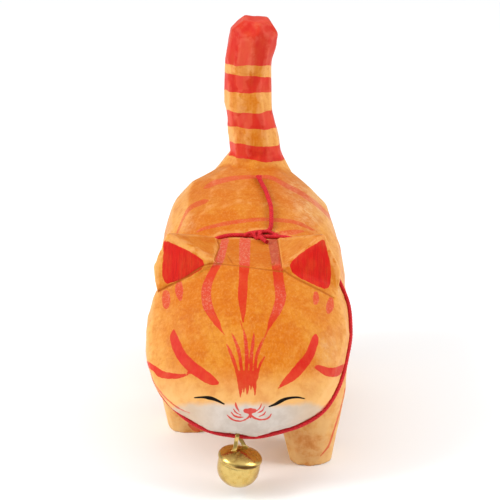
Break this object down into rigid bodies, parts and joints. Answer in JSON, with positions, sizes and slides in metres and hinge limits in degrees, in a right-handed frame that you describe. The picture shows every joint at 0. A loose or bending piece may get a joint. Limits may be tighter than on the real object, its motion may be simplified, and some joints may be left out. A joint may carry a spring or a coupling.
{
  "type": "carved wooden cat ornament",
  "caption": "Small hand-carved and painted wooden cat standing on its feet with its tail up, with a red cord collar and a hollow brass jingle bell.",
  "frame": {"origin": "on the ground, under the middle of the whole ornament's box", "axes": "the cat faces -Y, its left side is +X, its tail points up +Z"},
  "size_m": [0.0568, 0.1054, 0.1113],
  "materials": {
    "painted_wood": "satin orange paint over carved pale wood, with red brush stripes, grain showing through",
    "red_braid": "fine round braided cord",
    "brass": "satin pressed sheet brass"
  },
  "bodies": {
    "root": {"carved_cat": "painted_wood", "collar_cord": "red_braid", "collar_cord_end": "red_braid", "bell": "brass"}
  },
  "joints": []
}
